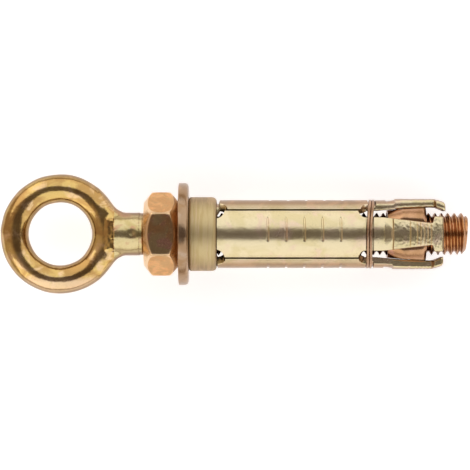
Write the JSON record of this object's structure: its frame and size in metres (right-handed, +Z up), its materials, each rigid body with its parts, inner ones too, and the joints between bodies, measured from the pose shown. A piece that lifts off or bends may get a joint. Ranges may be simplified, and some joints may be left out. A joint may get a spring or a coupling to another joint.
{
  "type": "ring anchor bolt",
  "caption": "Forged ring bolt in an expanding shield of pressed segments, drawn up by a hex nut to grip a hole in masonry.",
  "frame": {"origin": "on the bolt's axis at the collar's outer face, where the washer seats", "axes": "+X along the bolt from the ring to the thread's end; the ring lies flat in the XY plane; +Z up, towards the front segment"},
  "size_m": [0.1084, 0.0278, 0.0238],
  "materials": {
    "forged_zinc": "yellow chromated zinc on forged steel",
    "copper_zinc": "yellow chromated zinc with a copper tint",
    "bronze_zinc": "yellow chromated zinc with a bronze tint",
    "turned_zinc": "turned and finely brushed, straw chromated zinc",
    "pressed_zinc": "pressed sheet with straw chromated zinc",
    "wire_zinc": "drawn wire with brown chromated zinc"
  },
  "bodies": {
    "shield": {"collar": "turned_zinc", "washer": "bronze_zinc", "wire_ring": "wire_zinc"},
    "nut": {"hex_nut": "copper_zinc"},
    "bolt": {"eye_bolt": "forged_zinc", "expander_nut": "copper_zinc"},
    "front_leg": {"segment_front": "pressed_zinc"},
    "top_leg": {"segment_top": "pressed_zinc"},
    "rear_leg": {"segment_rear": "pressed_zinc"},
    "bottom_leg": {"segment_bottom": "pressed_zinc"}
  },
  "joints": [
    {"name": "nut_turn", "type": "hinge", "parent": "shield", "child": "nut", "pos_m": [-0.0064, 0, 0], "axis": [1, 0, 0], "range_deg": [0, 1440]},
    {"name": "bolt_draw", "type": "slide", "parent": "shield", "child": "bolt", "axis": [-1, 0, 0], "range_m": [0, 0.006]},
    {"name": "front_spread", "type": "hinge", "parent": "shield", "child": "front_leg", "pos_m": [0.0065, 0, 0.00705], "axis": [0, -1, 0], "range_deg": [0, 0.84], "deforming": ["wire_ring"]},
    {"name": "top_spread", "type": "hinge", "parent": "shield", "child": "top_leg", "pos_m": [0.0065, 0.00705, 0], "axis": [0, 0, 1], "range_deg": [0, 0.84]},
    {"name": "rear_spread", "type": "hinge", "parent": "shield", "child": "rear_leg", "pos_m": [0.0065, 0, -0.00705], "axis": [0, 1, 0], "range_deg": [0, 0.84]},
    {"name": "bottom_spread", "type": "hinge", "parent": "shield", "child": "bottom_leg", "pos_m": [0.0065, -0.00705, 0], "axis": [0, 0, -1], "range_deg": [0, 0.84]}
  ],
  "couplings": [
    {"joint": "nut_turn", "follows": "bolt_draw", "rad_per_m": 4188.8},
    {"joint": "front_spread", "follows": "bolt_draw", "rad_per_m": 2.4167},
    {"joint": "top_spread", "follows": "bolt_draw", "rad_per_m": 2.4167},
    {"joint": "rear_spread", "follows": "bolt_draw", "rad_per_m": 2.4167},
    {"joint": "bottom_spread", "follows": "bolt_draw", "rad_per_m": 2.4167}
  ]
}
